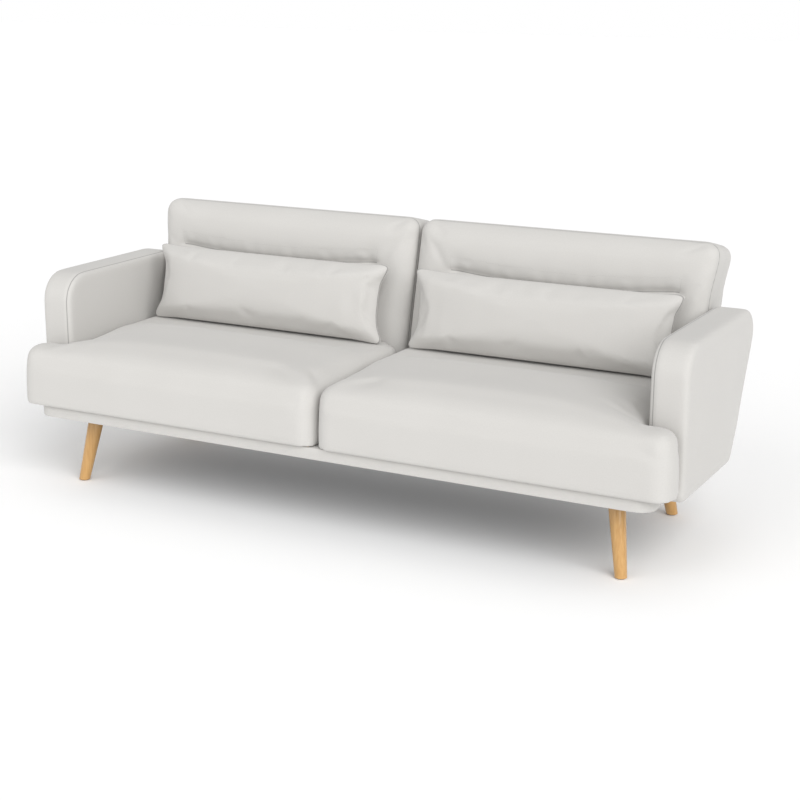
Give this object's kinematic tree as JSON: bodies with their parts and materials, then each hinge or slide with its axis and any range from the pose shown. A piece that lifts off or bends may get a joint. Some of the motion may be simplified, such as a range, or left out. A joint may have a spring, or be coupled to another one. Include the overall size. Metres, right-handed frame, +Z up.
{
  "type": "sofa bed",
  "caption": "Click-clack sofa bed with a split reclining back, padded arms, loose lumbar cushions and splayed turned wooden legs.",
  "frame": {"origin": "on the floor, in the middle of the sofa's width and depth", "axes": "+X to the right seen from the front, +Y to the rear, +Z up"},
  "size_m": [2.1, 0.83, 0.82],
  "materials": {
    "rail_fabric": "plain woven upholstery, light warm grey",
    "seat_fabric": "plain woven upholstery, light warm grey",
    "arm_fabric": "plain woven upholstery, light warm grey",
    "back_fabric": "plain woven upholstery, light warm grey",
    "cushion_fabric": "plain woven upholstery, light warm grey",
    "leg_wood": "clear satin lacquer on beech",
    "frame_wood": "planed softwood and plywood, bare",
    "zinc_steel": "zinc-plated",
    "webbing": "woven elastic webbing",
    "dust_cover": "spunbonded sheet",
    "glide_plastic": "moulded, dull"
  },
  "bodies": {
    "base": {"base_rail_front": "rail_fabric", "base_rail_rear": "frame_wood", "base_rail_centre": "frame_wood", "dust_cover": "dust_cover", "base_rail_left": "frame_wood", "seat_frame_left": "frame_wood", "seat_springs_left": "zinc_steel", "seat_pad_left": "seat_fabric", "arm_frame_left": "frame_wood", "arm_pad_left": "arm_fabric", "arm_bolt_left_1": "zinc_steel", "arm_bolt_left_2": "zinc_steel", "corner_block_front_left": "frame_wood", "leg_plate_front_left": "zinc_steel", "leg_bolt_front_left": "zinc_steel", "leg_front_left": "leg_wood", "leg_glide_front_left": "glide_plastic", "corner_block_rear_left": "frame_wood", "leg_plate_rear_left": "zinc_steel", "leg_bolt_rear_left": "zinc_steel", "leg_rear_left": "leg_wood", "leg_glide_rear_left": "glide_plastic", "hinge_bracket_left_inner": "zinc_steel", "hinge_pin_left_inner": "zinc_steel", "hinge_bracket_left_outer": "zinc_steel", "hinge_pin_left_outer": "zinc_steel", "base_rail_right": "frame_wood", "seat_frame_right": "frame_wood", "seat_springs_right": "zinc_steel", "seat_pad_right": "seat_fabric", "arm_frame_right": "frame_wood", "arm_pad_right": "arm_fabric", "arm_bolt_right_1": "zinc_steel", "arm_bolt_right_2": "zinc_steel", "corner_block_front_right": "frame_wood", "leg_plate_front_right": "zinc_steel", "leg_bolt_front_right": "zinc_steel", "leg_front_right": "leg_wood", "leg_glide_front_right": "glide_plastic", "corner_block_rear_right": "frame_wood", "leg_plate_rear_right": "zinc_steel", "leg_bolt_rear_right": "zinc_steel", "leg_rear_right": "leg_wood", "leg_glide_rear_right": "glide_plastic", "hinge_bracket_right_inner": "zinc_steel", "hinge_pin_right_inner": "zinc_steel", "hinge_bracket_right_outer": "zinc_steel", "hinge_pin_right_outer": "zinc_steel"},
    "back_left": {"back_frame_left": "frame_wood", "back_webbing_left": "webbing", "back_pad_left": "back_fabric", "hinge_arm_left_inner": "zinc_steel", "hinge_arm_left_outer": "zinc_steel"},
    "cushion_left": {"lumbar_cushion_left": "cushion_fabric"},
    "back_right": {"back_frame_right": "frame_wood", "back_webbing_right": "webbing", "back_pad_right": "back_fabric", "hinge_arm_right_inner": "zinc_steel", "hinge_arm_right_outer": "zinc_steel"},
    "cushion_right": {"lumbar_cushion_right": "cushion_fabric"}
  },
  "joints": [
    {"name": "back_left_recline", "type": "hinge", "parent": "base", "child": "back_left", "pos_m": [0, 0.22691, 0.355], "axis": [-1, 0, 0], "range_deg": [0, 77]},
    {"name": "cushion_left_lift", "type": "slide", "parent": "back_left", "child": "cushion_left", "axis": [0, 0, 1], "range_m": [0, 0.4]},
    {"name": "back_right_recline", "type": "hinge", "parent": "base", "child": "back_right", "pos_m": [0, 0.22691, 0.355], "axis": [-1, 0, 0], "range_deg": [0, 77]},
    {"name": "cushion_right_lift", "type": "slide", "parent": "back_right", "child": "cushion_right", "axis": [0, 0, 1], "range_m": [0, 0.4]}
  ]
}
